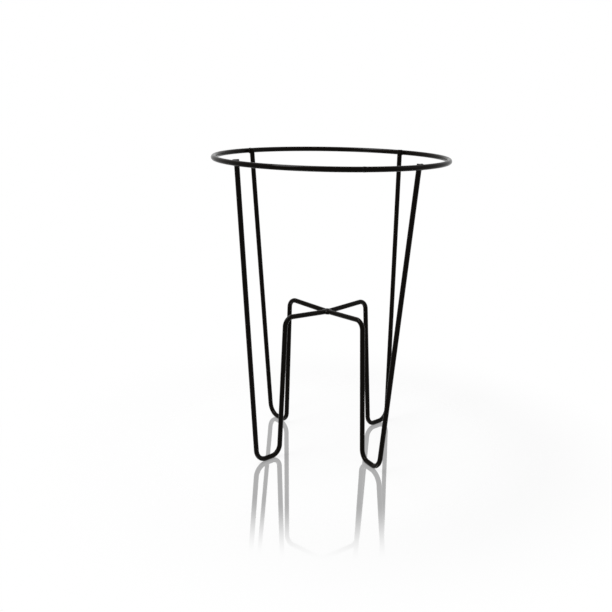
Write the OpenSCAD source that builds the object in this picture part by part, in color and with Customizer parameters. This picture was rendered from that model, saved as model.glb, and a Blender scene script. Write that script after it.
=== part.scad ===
// Plant stand of round rod: a ring that holds the pot's rim and four bent legs that meet under the pot.
// Each leg is one rod. It runs down from the ring, turns back up at its foot and ends as a bar that
// reaches the stand's axis. The legs are welded to the inside of the ring and to each other.
// Lengths are in millimetres and angles in degrees. The floor is z = 0 and the ring is centred on the z axis.
// Lists of four go round the stand: right (+X), back (+Y), left (-X), front (-Y).

/* [Rod] */
// Diameter of the rod that the ring and the legs are bent from
rod_d = 6.35; // [4:0.05:9]

/* [Ring] */
// Diameter over the outside of the ring
ring_outer_d = 300; // [260:1:340]
// Height of the top of the ring above the floor
ring_top_h = 384; // [320:0.5:450]

/* [Feet] */
// Distance from the stand's axis to the outer corner of a foot, between centre lines
foot_corner_r = 118; // [95:0.5:130]
// Length of a foot along the floor, between the centre lines of its two corners
foot_l = 38.5; // [32:0.5:45]
// Bend radius of the outer corner of a foot, at the rod's centre line
foot_outer_bend_r = 16; // [7:0.5:17]
// Bend radius of the inner corner of a foot, at the rod's centre line
foot_inner_bend_r = 13; // [7:0.5:14]

/* [Pot rest] */
// Height of the corner where an inner upright turns into its bar, at the rod's centre line
bar_h = 185; // [120:1:240]
// Distance from the stand's axis to that corner, between centre lines
bar_corner_r = 72; // [55:0.5:85]
// Drop of a bar from its corner to the stand's axis
bar_dip = 3.5; // [0:0.5:10]
// Bend radius where an inner upright turns into its bar, at the rod's centre line
bar_bend_r = 11.5; // [7:0.5:16]

/* [Placing of the legs] */
// Turn of each inner upright and bar away from its quarter of the circle
bar_turns = [2.1, 3.4, 0.7, -5]; // [-8:0.1:8]
// Turn of each foot's outer corner away from its quarter of the circle
foot_turns = [-1.1, -0.7, 1.3, -6.8]; // [-8:0.1:8]
// Turn of the inner corner of each foot away from its own bar
foot_inner_turns = [-4.7, -2.2, -0.6, 0.8]; // [-6:0.1:6]
// Turn of each leg's upper end along the ring away from its quarter of the circle
ring_end_turns = [5.6, 7.6, -3.8, 3.5]; // [-10:0.1:10]
// Height of each leg's upper end above the ring's centre line
ring_end_rises = [4, 3.6, 3.7, 3.3]; // [2:0.1:8]

/* [Welds] */
// Room between a leg and the ring that the weld metal fills
ring_weld_gap = 0.35; // [0.1:0.05:0.5]
// Clearance between the weld metal and the rods it runs round
weld_clearance = 0.12; // [0.01:0.01:0.14]
// How far a weld at the ring stands out past the rods
ring_weld_over = 0.6; // [0.4:0.1:2]
// Room left between the ends of neighbouring bars
bar_end_gap = 0.4; // [0.2:0.1:1]
// How far the weld in the middle runs along the bars from their ends
centre_weld_reach = 4.5; // [2:0.5:6]
// How far the weld in the middle stands out above and below the bars
centre_weld_over = 0.8; // [0.7:0.1:2]
// Place of the joint in the ring, counted round from +X
seam_turn = 242; // [230:1:255]
// Width of the weld in the ring's joint
seam_w = 2; // [1:0.5:4]
// How far that weld stands out past the rod after grinding
seam_over = 0.15; // [0.05:0.05:0.5]

/* [Hidden] */
$fn = 64;
ring_fn = 360;  // steps round the ring, which is large

// Each leg's number is how many quarter turns it stands round from +X
right_turns = 0;
back_turns = 1;
left_turns = 2;
front_turns = 3;
legs = [right_turns, back_turns, left_turns, front_turns];
coat = [0.075, 0.07, 0.065];

rod_r = rod_d / 2;
joint_step = 0.01;  // a straight is this much slimmer than a bend, all round
joint_overlap = 0.3;  // and its end lies this far inside the bend, so that the two are one solid
ring_r = ring_outer_d / 2 - rod_r;  // radius of the ring's centre line
ring_h = ring_top_h - rod_r;  // height of the ring's centre line

// The legs lean outwards, so they stand off the ring's centre line by a little more than the rod and its gap
lean = atan((ring_r - rod_d - foot_corner_r) / (ring_h - rod_r));
stand_off = (rod_d + ring_weld_gap) / cos(lean);

// The square ends of the bars stop where neighbours at the tightest angle would meet, and the gap before it
bar_angles = [for (i = legs) 90 * i + bar_turns[i]];
bar_angle_steps = [for (i = legs) 90 + bar_turns[(i + 1) % len(legs)] - bar_turns[i]];
bar_end_r = rod_r / tan(min(bar_angle_steps) / 2) + bar_end_gap;

seam_angle = 2 * asin(seam_w / 2 / ring_r);

function unit(v) = v / norm(v);
function around(r, angle, h) = [r * cos(angle), r * sin(angle), h];

// Where the centre line of a leg passes the ring
function ring_pass(i) = around(ring_r - stand_off, 90 * i + ring_end_turns[i], ring_h);
function outer_corner(i) = around(foot_corner_r, 90 * i + foot_turns[i], rod_r);
function inner_corner(i) = around(foot_corner_r - foot_l, bar_angles[i] + foot_inner_turns[i], rod_r);
function bar_corner(i) = around(bar_corner_r, bar_angles[i], bar_h);
function bar_end(i) = around(bar_end_r, bar_angles[i], bar_h - bar_dip * (1 - bar_end_r / bar_corner_r));
function upper_end(i) = ring_pass(i)
    + (ring_pass(i) - outer_corner(i)) * ring_end_rises[i] / (ring_h - rod_r);

function leg_points(i) = [upper_end(i), outer_corner(i), inner_corner(i), bar_corner(i), bar_end(i)];
leg_bends = [0, foot_outer_bend_r, foot_inner_bend_r, bar_bend_r, 0];

// Angle by which a centre line turns at a corner, and the length that the bend there takes from a straight
function turn_at(a, corner, b) = acos(unit(corner - a) * unit(b - corner));
function bend_length(points, bends, k) =
    k == 0 || k == len(points) - 1 ? 0
    : bends[k] * tan(turn_at(points[k - 1], points[k], points[k + 1]) / 2) - joint_overlap;

// Places what is drawn on the x and y axes at a point, along two directions that are square to each other
module set_on(place, x_way, y_way) {
    z_way = cross(x_way, y_way);
    multmatrix([
        [x_way.x, y_way.x, z_way.x, place.x],
        [x_way.y, y_way.y, z_way.y, place.y],
        [x_way.z, y_way.z, z_way.z, place.z],
        [0, 0, 0, 1]
    ]) children();
}

module straight_rod(from, to, r) {
    way = to - from;
    translate(from)
        rotate([0, acos(way.z / norm(way)), atan2(way.y, way.x)])
            cylinder(r = r, h = norm(way));
}

// Part of a ring that joins two straights: it starts along way_in and ends along way_out
module bent_rod(corner, way_in, way_out, bend_r) {
    turn = acos(way_in * way_out);
    centre = corner + unit(way_out - way_in) * bend_r / cos(turn / 2);
    start = corner - way_in * bend_r * tan(turn / 2);
    set_on(centre, unit(start - centre), way_in)
        rotate_extrude(angle = turn) translate([bend_r, 0]) circle(d = rod_d);
}

module rod_along(points, bends) {
    for (k = [0 : len(points) - 2]) {
        way = unit(points[k + 1] - points[k]);
        straight_rod(
            points[k] + way * bend_length(points, bends, k),
            points[k + 1] - way * bend_length(points, bends, k + 1),
            rod_r - joint_step
        );
        if (k > 0) bent_rod(points[k], unit(points[k] - points[k - 1]), way, bends[k]);
    }
}

module ring_arc(from_angle, angle, r) {
    translate([0, 0, ring_h])
        rotate([0, 0, from_angle])
            rotate_extrude(angle = angle, $fn = ring_fn) translate([ring_r, 0]) circle(r = r, $fn = 64);
}

module ring() {
    color(coat) ring_arc(seam_turn + seam_angle / 2, 360 - seam_angle, rod_r);
}

module ring_seam_weld() {
    color(coat) ring_arc(seam_turn - seam_angle / 2, seam_angle, rod_r + seam_over);
}

module leg_rod(i) {
    color(coat) rod_along(leg_points(i), leg_bends);
}

// A bead round the point where a leg lies against the ring. The poles of its sphere point at the two rods.
module ring_weld(i) {
    angle = 90 * i + ring_end_turns[i];
    color(coat) difference() {
        translate(around(ring_r - stand_off / 2, angle, ring_h))
            rotate([0, 90, angle]) sphere(r = rod_r + ring_weld_over);
        ring_arc(angle + 180, 360, rod_r + weld_clearance);
        straight_rod(upper_end(i), outer_corner(i), rod_r + weld_clearance);
    }
}

// A lens of weld metal that fills the room between the ends of the bars
module centre_weld() {
    rim_r = bar_end_r + centre_weld_reach;
    half_h = rod_r + centre_weld_over;
    lens_r = (rim_r * rim_r + half_h * half_h) / (2 * half_h);
    color(coat) difference() {
        translate([0, 0, bar_h - bar_dip]) intersection() {
            translate([0, 0, half_h - lens_r]) sphere(r = lens_r);
            translate([0, 0, lens_r - half_h]) sphere(r = lens_r);
        }
        for (i = legs) straight_rod(bar_end(i), bar_corner(i), rod_r + weld_clearance);
    }
}

ring();
ring_seam_weld();
leg_rod(right_turns);  // leg_rod_right
leg_rod(back_turns);  // leg_rod_back
leg_rod(left_turns);  // leg_rod_left
leg_rod(front_turns);  // leg_rod_front
ring_weld(right_turns);  // ring_weld_right
ring_weld(back_turns);  // ring_weld_back
ring_weld(left_turns);  // ring_weld_left
ring_weld(front_turns);  // ring_weld_front
centre_weld();
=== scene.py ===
import math

import bmesh
import bpy
from mathutils import Matrix, Quaternion, Vector, noise


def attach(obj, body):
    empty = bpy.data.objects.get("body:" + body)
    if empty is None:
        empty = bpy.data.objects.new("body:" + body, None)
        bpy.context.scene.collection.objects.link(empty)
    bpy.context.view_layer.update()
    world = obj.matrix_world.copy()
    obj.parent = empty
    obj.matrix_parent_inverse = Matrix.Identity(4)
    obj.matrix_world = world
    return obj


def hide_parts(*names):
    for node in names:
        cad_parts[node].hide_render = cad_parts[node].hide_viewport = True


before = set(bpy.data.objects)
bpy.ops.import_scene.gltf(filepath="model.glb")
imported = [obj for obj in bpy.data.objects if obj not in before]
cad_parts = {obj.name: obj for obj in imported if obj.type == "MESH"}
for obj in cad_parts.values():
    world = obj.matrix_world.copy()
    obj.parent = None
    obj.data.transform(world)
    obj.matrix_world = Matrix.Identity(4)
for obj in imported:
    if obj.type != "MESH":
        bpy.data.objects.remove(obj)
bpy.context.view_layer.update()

# Lengths are in metres, and the angles in lists and dictionaries are in degrees.
# The stand's legs go round as right, back, left, front.

rodStock = {"diameter": 0.00635, "sides": 40, "stepLength": 0.008}
ringShape = {"outerDiameter": 0.3, "topHeight": 0.384, "steps": 300, "seamTurn": 242, "seamWidth": 0.002}
legShape = {
    "footCornerRadius": 0.118,  # from the stand's axis to a foot's outer corner
    "footLength": 0.0385,
    "barHeight": 0.185,
    "barCornerRadius": 0.072,  # from the stand's axis to where an inner upright turns into its bar
    "barDip": 0.0035,
    "bendRadii": (0.016, 0.013, 0.0115),  # outer foot corner, inner foot corner, bar corner
    "bendSteps": 18,
    "flattening": 0.035,  # share of the rod that a bend takes off across its middle
    "flattenedToWidened": 3,  # how many times more the rod flattens there than it widens
    "ringGap": 0.00035,
    "barEndGap": 0.0004,
    "cutEdge": 0.00045,  # rounding of a cut end
    "cutEdgeSteps": 4,
}
legNames = ("right", "back", "left", "front")
barTurns = (2.1, 3.4, 0.7, -5)  # how far each leg's parts are turned away from its quarter of the circle
footTurns = (-1.1, -0.7, 1.3, -6.8)
innerFootTurns = (-4.7, -2.2, -0.6, 0.8)  # from each leg's own bar
ringEndTurns = (5.6, 7.6, -3.8, 3.5)
ringEndRises = (0.004, 0.0036, 0.0037, 0.0033)  # of each upper end above the ring's centre line

rodRadius = rodStock["diameter"] / 2
ringRadius = ringShape["outerDiameter"] / 2 - rodRadius
ringHeight = ringShape["topHeight"] - rodRadius

# How far a leaning leg stands off the ring's centre line
legLean = math.atan2(ringRadius - 2 * rodRadius - legShape["footCornerRadius"], ringHeight - rodRadius)
legStandOff = (2 * rodRadius + legShape["ringGap"]) / math.cos(legLean)

# The bars stop where neighbours at the tightest angle would meet
barSteps = [90 + after - turn for turn, after in zip(barTurns, barTurns[1:] + barTurns[:1])]
barEndRadius = rodRadius / math.tan(math.radians(min(barSteps) / 2)) + legShape["barEndGap"]


def around(radius, angle, height):
    return Vector((radius * math.cos(math.radians(angle)), radius * math.sin(math.radians(angle)), height))


def ringPass(i):  # where a leg's centre line passes the ring
    return around(ringRadius - legStandOff, 90 * i + ringEndTurns[i], ringHeight)


def legPoints(i):  # the upper end, the three corners and the bar's end of one leg
    barAngle = 90 * i + barTurns[i]
    outerCorner = around(legShape["footCornerRadius"], 90 * i + footTurns[i], rodRadius)
    upperEnd = ringPass(i) + (ringPass(i) - outerCorner) * ringEndRises[i] / (ringHeight - rodRadius)
    innerRadius = legShape["footCornerRadius"] - legShape["footLength"]
    innerCorner = around(innerRadius, barAngle + innerFootTurns[i], rodRadius)
    barCorner = around(legShape["barCornerRadius"], barAngle, legShape["barHeight"])
    barDip = legShape["barDip"] * (1 - barEndRadius / legShape["barCornerRadius"])
    barEnd = around(barEndRadius, barAngle, legShape["barHeight"] - barDip)
    return [upperEnd, outerCorner, innerCorner, barCorner, barEnd]


class Value:  # a number in a node tree; sums, differences and products of it add Math nodes
    def __init__(self, tree, socket):
        self.tree = tree
        self.socket = socket

    def math(self, operation, first, second):
        return self.tree.add("ShaderNodeMath", {"operation": operation}, {0: first, 1: second})

    def __add__(self, other):
        return self.math("ADD", self, other)

    def __sub__(self, other):
        return self.math("SUBTRACT", self, other)

    def __rsub__(self, other):
        return self.math("SUBTRACT", other, self)

    def __mul__(self, other):
        return self.math("MULTIPLY", self, other)


class NodeTree:
    def __init__(self, owner):
        owner.use_nodes = True
        self.tree = owner.node_tree
        self.tree.nodes.clear()

    def add(self, kind, settings=None, inputs=None, output=0):
        node = self.tree.nodes.new(kind)
        for name, value in (settings or {}).items():
            setattr(node, name, value)
        for name, value in (inputs or {}).items():
            if isinstance(value, Value):
                self.tree.links.new(value.socket, node.inputs[name])
            else:
                node.inputs[name].default_value = value
        return Value(self, node.outputs[output]) if node.outputs else None

    def fade(self, value, start, end):  # 0 up to start, 1 from end on, and smooth between
        return self.add(
            "ShaderNodeMapRange", {"interpolation_type": "SMOOTHSTEP"},
            {"Value": value, "From Min": start, "From Max": end})

    def mixColour(self, factor, first, second):  # 6, 7 and 2 are the node's colour sockets
        return self.add("ShaderNodeMix", {"data_type": "RGBA"}, {0: factor, 6: first, 7: second}, output=2)

    def mixShader(self, factor, first, second):
        return self.add("ShaderNodeMixShader", None, {0: factor, 1: first, 2: second})

    def finish(self, shader):
        self.add("ShaderNodeOutputMaterial", None, {"Surface": shader})


coatLook = {  # a scale counts lumps to the metre
    "black": (0.0025, 0.0014, 0.0004, 1),
    "ior": 1.13,
    "roughness": 0.2,
    "patchScale": 38,  # patches of more and of less gloss
    "patchSpread": 0.16,  # of the roughness, from the glossiest patch to the dullest
    "peelScale": 420,  # the coat's orange peel
    "peelDepth": 0.0000015,
    "weldLumpScale": 950,
    "weldLumpDepth": 0.00003,
}
footRub = {  # where the feet have rubbed on the floor
    "colour": (0.03, 0.028, 0.026, 1),
    "heights": (0.0001, 0.0006),  # worn below the first, and not above the second
    "edgeScale": 420,
    "edgeWander": 0.0012,
    "strength": 0.8,
    "roughening": 0.25,
}


def makeCoat(name, lumpDepth):  # the black powder coat, on smooth rod or on rough weld metal
    material = bpy.data.materials.new(name)
    tree = NodeTree(material)
    place = tree.add("ShaderNodeTexCoord", output="Object")

    def noiseAt(scale, detail=2.0):
        return tree.add("ShaderNodeTexNoise", None, {"Vector": place, "Scale": scale, "Detail": detail})

    height = tree.add("ShaderNodeSeparateXYZ", None, {"Vector": place}, output="Z")
    patches = noiseAt(coatLook["patchScale"])
    peel = noiseAt(coatLook["peelScale"])
    lumps = noiseAt(coatLook["weldLumpScale"], detail=3.0)
    wander = (noiseAt(footRub["edgeScale"], detail=4.0) - 0.5) * footRub["edgeWander"]
    rub = 1 - tree.fade(height + wander, *footRub["heights"])
    colour = tree.mixColour(rub * footRub["strength"], coatLook["black"], footRub["colour"])
    glossiest = coatLook["roughness"] - coatLook["patchSpread"] / 2
    roughness = patches * coatLook["patchSpread"] + glossiest + rub * footRub["roughening"]
    relief = peel * coatLook["peelDepth"] + lumps * lumpDepth
    bump = tree.add("ShaderNodeBump", None, {"Height": relief, "Strength": 1.0, "Distance": 1.0})
    coat = tree.add("ShaderNodeBsdfPrincipled", None, {
        "Base Color": colour, "Roughness": roughness, "IOR": coatLook["ior"], "Normal": bump,
    })
    tree.finish(coat)
    return material


rodCoat = makeCoat("rodCoat", 0)
weldCoat = makeCoat("weldCoat", coatLook["weldLumpDepth"])
print("materials made")


def addObject(name, data):
    thing = bpy.data.objects.new(name, data)
    bpy.context.scene.collection.objects.link(thing)
    return thing


def makeMesh(name, bm, material):
    mesh = bpy.data.meshes.new(name)
    bm.to_mesh(mesh)
    bm.free()
    mesh.materials.append(material)
    return mesh


def finishPiece(bm, name, material, node):
    bmesh.ops.recalc_face_normals(bm, faces=bm.faces)
    mesh = makeMesh(name, bm, material)
    mesh.shade_smooth()
    piece = addObject(name, mesh)
    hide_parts(node)
    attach(piece, "root")
    print(name, "made,", len(mesh.polygons), "faces")


def rodSection(bm, centre, way):  # the rod's outline, square to its way, in the same order each run
    turn = way.to_track_quat("Z", "Y").to_matrix().to_4x4()
    made = bmesh.ops.create_circle(
        bm, segments=rodStock["sides"], radius=rodRadius, matrix=Matrix.Translation(centre) @ turn)
    return list(dict.fromkeys(edge for vert in made["verts"] for edge in vert.link_edges))


def edgesOf(geometry):
    return [item for item in geometry if isinstance(item, bmesh.types.BMEdge)]


def vertsOf(edges):
    return list(dict.fromkeys(vert for edge in edges for vert in edge.verts))


def pullStraight(bm, loop, start, end):
    steps = max(1, round((end - start).length / rodStock["stepLength"]))
    for _ in range(steps):
        made = bmesh.ops.extrude_edge_only(bm, edges=loop)
        fresh = {item for item in made["geom"] if isinstance(item, bmesh.types.BMVert)}
        bmesh.ops.translate(bm, verts=list(fresh), vec=(end - start) / steps)
        loop = [edge for edge in edgesOf(made["geom"]) if set(edge.verts) <= fresh]
    return loop


def spinLoop(bm, loop, centre, axis, sweep, steps):  # the sweep is in radians
    made = bmesh.ops.spin(bm, geom=loop + vertsOf(loop), cent=centre, axis=axis, angle=sweep, steps=steps)
    return edgesOf(made["geom_last"])


def spinBend(bm, loop, corner, wayIn, wayOut, bendRadius):
    turn = wayIn.angle(wayOut)
    centre = corner + (wayOut - wayIn).normalized() * bendRadius / math.cos(turn / 2)
    axis = wayIn.cross(wayOut).normalized()
    old = set(bm.verts)
    lastLoop = spinLoop(bm, loop, centre, axis, turn, legShape["bendSteps"])
    begin = corner - wayIn * bendRadius * math.tan(turn / 2) - centre
    for vert in set(bm.verts) - old:  # a bent rod is a little flat and wide in the middle of its bend
        across = axis * (vert.co - centre).dot(axis)
        outward = vert.co - centre - across
        share = begin.angle(outward, 0) / turn
        squeeze = legShape["flattening"] * math.sin(math.pi * min(max(share, 0), 1)) ** 2
        radius = bendRadius + (outward.length - bendRadius) * (1 - squeeze)
        wider = across * (1 + squeeze / legShape["flattenedToWidened"])
        vert.co = centre + wider + outward.normalized() * radius
    return lastLoop


def closeEnds(bm, loops, cutEdge=0):
    for loop in loops:
        bmesh.ops.edgeloop_fill(bm, edges=loop)
        if cutEdge:
            bmesh.ops.bevel(
                bm, geom=loop, offset=cutEdge, segments=legShape["cutEdgeSteps"], profile=0.5,
                affect="EDGES", material=-1)


def bendRod(points, radii):  # one rod through all its corners
    bm = bmesh.new()
    ways = [(b - a).normalized() for a, b in zip(points, points[1:])]
    firstLoop = rodSection(bm, points[0], ways[0])
    loop = firstLoop
    here = points[0]
    for k, way in enumerate(ways):
        last = k == len(ways) - 1
        setBack = 0 if last else radii[k] * math.tan(way.angle(ways[k + 1]) / 2)
        there = points[k + 1] - way * setBack
        loop = pullStraight(bm, loop, here, there)
        if not last:
            loop = spinBend(bm, loop, points[k + 1], way, ways[k + 1], radii[k])
            here = points[k + 1] + ways[k + 1] * setBack
    closeEnds(bm, (firstLoop, loop), legShape["cutEdge"])
    return bm


def spinRingRod(startAngle, sweep, steps):  # a stretch of the ring's rod, open at both ends
    bm = bmesh.new()
    firstLoop = rodSection(bm, around(ringRadius, startAngle, ringHeight), around(1, startAngle + 90, 0))
    lastLoop = spinLoop(bm, firstLoop, (0, 0, ringHeight), (0, 0, 1), sweep, steps)
    return bm, (firstLoop, lastLoop)


def makeRing():
    seamSweep = 2 * math.asin(ringShape["seamWidth"] / 2 / ringRadius)
    startAngle = ringShape["seamTurn"] + math.degrees(seamSweep) / 2
    bm, loops = spinRingRod(startAngle, 2 * math.pi - seamSweep, ringShape["steps"])
    closeEnds(bm, loops)
    finishPiece(bm, "coated_ring", rodCoat, "ring")


seamShape = {
    "reach": 0.0021,  # to each side of the ring's joint
    "swell": 0.00016,
    "fullness": 0.7,  # below 1, the swelling is steeper at its rims and flatter on top
    "steps": 14,
    "grindScale": 900,
    "grindDepth": 0.00007,
    "tuck": 0.00002,  # how far the rims sink into the rod
    "tuckPower": 4,
}


def makeSeam():  # the ring's joint: a low swelling, ground nearly flush
    reachAngle = math.degrees(seamShape["reach"] / ringRadius)
    startAngle = ringShape["seamTurn"] - reachAngle
    bm, loops = spinRingRod(startAngle, math.radians(2 * reachAngle), seamShape["steps"])
    middle = around(ringRadius, ringShape["seamTurn"], ringHeight)
    along = around(1, ringShape["seamTurn"] + 90, 0)
    for vert in bm.verts:
        offset = vert.co - middle
        share = offset.dot(along) / seamShape["reach"]
        outward = (offset - along * offset.dot(along)).normalized()
        rounded = math.cos(share * math.pi / 2) ** seamShape["fullness"] if abs(share) < 1 else 0
        swell = seamShape["swell"] * rounded
        ground = seamShape["grindDepth"] * noise.noise(vert.co * seamShape["grindScale"]) * (1 - abs(share))
        tuck = seamShape["tuck"] * abs(share) ** seamShape["tuckPower"]
        vert.co += outward * (swell + ground - tuck)
    closeEnds(bm, loops)
    finishPiece(bm, "ring_seam_bead", weldCoat, "ring_seam_weld")


makeRing()
makeSeam()

for i, legName in enumerate(legNames):
    rod = bendRod(legPoints(i), legShape["bendRadii"])
    finishPiece(rod, "bent_leg_" + legName, rodCoat, "leg_rod_" + legName)


ringBead = {
    "half": (0.0043, 0.0040, 0.0039),  # along the ring, across it and upright
    "shift": (0.0002, -0.0002, 0.0003, -0.0003),  # of each bead along the ring
    "ripplePitch": 0.0011,
    "rippleBow": 1.6,  # ripples by which a crest is ahead at the bead's sides
    "rippleDepth": 0.00008,
    "lumpScale": 260,
    "lumpDepth": 0.0002,
}
middleBead = {
    "half": (0.0078, 0.0078, 0.0037),
    "ripplePitch": 0.0013,
    "rippleDepth": 0.00012,
    "lumpScale": 230,
    "lumpDepth": 0.0003,
}
beadSubdivisions = 6


def ringBeadRipple(place, outward):  # the bead was run upwards on both sides of the leg
    crest = place.z / ringBead["ripplePitch"] + ringBead["rippleBow"] * abs(outward.x) ** 2
    return ringBead["rippleDepth"] * math.sin(2 * math.pi * crest) * abs(outward.x)


def middleBeadRipple(place, outward):  # one spiral from the middle out, above and below
    crest = place.xy.length / middleBead["ripplePitch"] + math.atan2(place.y, place.x) / (2 * math.pi)
    return middleBead["rippleDepth"] * math.sin(2 * math.pi * crest) * abs(outward.z)


def makeBead(shape, ripple, noiseShift):  # a ball of weld metal, round the origin; the shift varies its lumps
    bm = bmesh.new()
    bmesh.ops.create_icosphere(bm, subdivisions=beadSubdivisions, radius=1)
    bmesh.ops.scale(bm, vec=shape["half"], verts=bm.verts)
    for vert in bm.verts:
        outward = Vector(a / b ** 2 for a, b in zip(vert.co, shape["half"])).normalized()
        lump = shape["lumpDepth"] * noise.noise(vert.co * shape["lumpScale"] + Vector(noiseShift))
        vert.co += outward * (ripple(vert.co, outward) + lump)
    return bm


def makeRingBead(i):
    bm = makeBead(ringBead, ringBeadRipple, (7 * i, 3, 1))
    angle = 90 * i + ringEndTurns[i]
    place = Matrix.Translation(around(ringRadius - legStandOff / 2, angle, ringHeight))
    turn = Matrix.Rotation(math.radians(angle + 90), 4, "Z")
    slide = Matrix.Translation((ringBead["shift"][i], 0, 0))
    bmesh.ops.transform(bm, matrix=place @ turn @ slide, verts=bm.verts)
    name = legNames[i]
    finishPiece(bm, "ring_bead_" + name, weldCoat, "ring_weld_" + name)


def makeMiddleBead():  # where the four bars meet
    bm = makeBead(middleBead, middleBeadRipple, (0, 0, 0))
    place = (0, 0, legShape["barHeight"] - legShape["barDip"])
    bmesh.ops.translate(bm, vec=place, verts=bm.verts)
    finishPiece(bm, "middle_bead", weldCoat, "centre_weld")


for i in range(len(legNames)):
    makeRingBead(i)
makeMiddleBead()


cameraPlace = {
    "turn": -42.517,  # of the camera's side of the stand from -Y
    "distance": 1.0959,
    "height": 0.4727,
    "yaw": 1.48,
    "pitch": 14.55,
    "roll": 0.98,
    "lens": 50.83,  # this and the sensor in millimetres
    "sensorWidth": 36,
}
floorLook = {
    "radius": 12,
    "sides": 96,
    "colour": (0.93, 0.93, 0.93, 1),
    "nearWhite": 0.75,  # share of plain white that is seen in the floor under the stand
    "whiteFade": (0.2, 0.45),  # distances from the axis over which that share grows to the whole
    "mirror": 0.555,
    "mirrorRoughness": 0.03,
    "mirrorFade": (0.188, 0.31),  # distances over which the mirror fades out
}
lampSet = {  # side, depth and height as seen by the camera, then size, turn and power
    "keySoftbox": ((-0.6, -0.05, 1.7), (1.8, 0.4), -30, 31),
    "fillSoftbox": ((1.5, -0.3, 1.1), (0.9, 0.9), 0, 3),
}
worldLevel = 0.15
pureWhite = (1, 1, 1, 1)
cameraSide = Matrix.Rotation(math.radians(cameraPlace["turn"]), 4, "Z")


def seenRays(tree):  # camera rays, and the rays that show the surroundings in metal and glass
    names = ("Is Camera Ray", "Is Glossy Ray", "Is Transmission Ray")
    camera, glossy, through = (tree.add("ShaderNodeLightPath", output=name) for name in names)
    return camera.math("MAXIMUM", camera, glossy.math("MAXIMUM", glossy, through))


def makeFloor():  # matt and pale, with plain white mixed in and a mirror near the stand
    material = bpy.data.materials.new("paleFloor")
    tree = NodeTree(material)
    place = tree.add("ShaderNodeTexCoord", output="Object")
    reach = tree.add("ShaderNodeVectorMath", {"operation": "LENGTH"}, {0: place}, output="Value")
    matt = tree.add("ShaderNodeBsdfDiffuse", None, {"Color": floorLook["colour"]})
    white = tree.add("ShaderNodeEmission", None, {"Color": pureWhite, "Strength": 1.0})
    nearWhite = floorLook["nearWhite"]
    whiteShare = tree.fade(reach, *floorLook["whiteFade"]) * (1 - nearWhite) + nearWhite
    plain = tree.mixShader(whiteShare * seenRays(tree), matt, white)
    gloss = {"Color": pureWhite, "Roughness": floorLook["mirrorRoughness"]}
    mirror = tree.add("ShaderNodeBsdfAnisotropic", None, gloss)
    mirrorShare = (1 - tree.fade(reach, *floorLook["mirrorFade"])) * floorLook["mirror"]
    tree.finish(tree.mixShader(mirrorShare, plain, mirror))
    bm = bmesh.new()
    bmesh.ops.create_circle(bm, cap_ends=True, segments=floorLook["sides"], radius=floorLook["radius"])
    floor = addObject("floor", makeMesh("floor", bm, material))


def makeLamps():
    for name, (place, size, turn, power) in lampSet.items():
        light = bpy.data.lights.new(name, "AREA")
        light.shape = "RECTANGLE"
        light.size, light.size_y = size
        light.energy = power
        lamp = addObject(name, light)
        lamp.location = cameraSide @ Vector(place)
        toStand = Vector((0, 0, ringHeight / 2)) - lamp.location
        facing = toStand.to_track_quat("-Z", "Y") @ Quaternion((0, 0, 1), math.radians(turn))
        lamp.rotation_euler = facing.to_euler()
        lamp.visible_camera = False


def makeWorld():  # it lights softly, and is seen as white
    world = bpy.data.worlds.new("studio")
    bpy.context.scene.world = world
    tree = NodeTree(world)
    soft = tree.add("ShaderNodeBackground", None, {"Color": pureWhite, "Strength": worldLevel})
    white = tree.add("ShaderNodeBackground", None, {"Color": pureWhite, "Strength": 1.0})
    tree.add("ShaderNodeOutputWorld", None, {"Surface": tree.mixShader(seenRays(tree), soft, white)})


def makeCamera():
    data = bpy.data.cameras.new("camera")
    data.lens = cameraPlace["lens"]
    data.sensor_width = cameraPlace["sensorWidth"]
    camera = addObject("camera", data)
    yaw, pitch, roll = (math.radians(cameraPlace[name]) for name in ("yaw", "pitch", "roll"))
    place = Matrix.Translation((0, -cameraPlace["distance"], cameraPlace["height"]))
    level = Matrix.Rotation(yaw, 4, "Z") @ Matrix.Rotation(math.pi / 2 - pitch, 4, "X")
    camera.matrix_world = cameraSide @ place @ (level @ Matrix.Rotation(roll, 4, "Z"))
    bpy.context.scene.camera = camera


makeFloor()
makeLamps()
makeWorld()
makeCamera()
bpy.context.scene.view_settings.view_transform = "Standard"
print("floor, light and camera made")
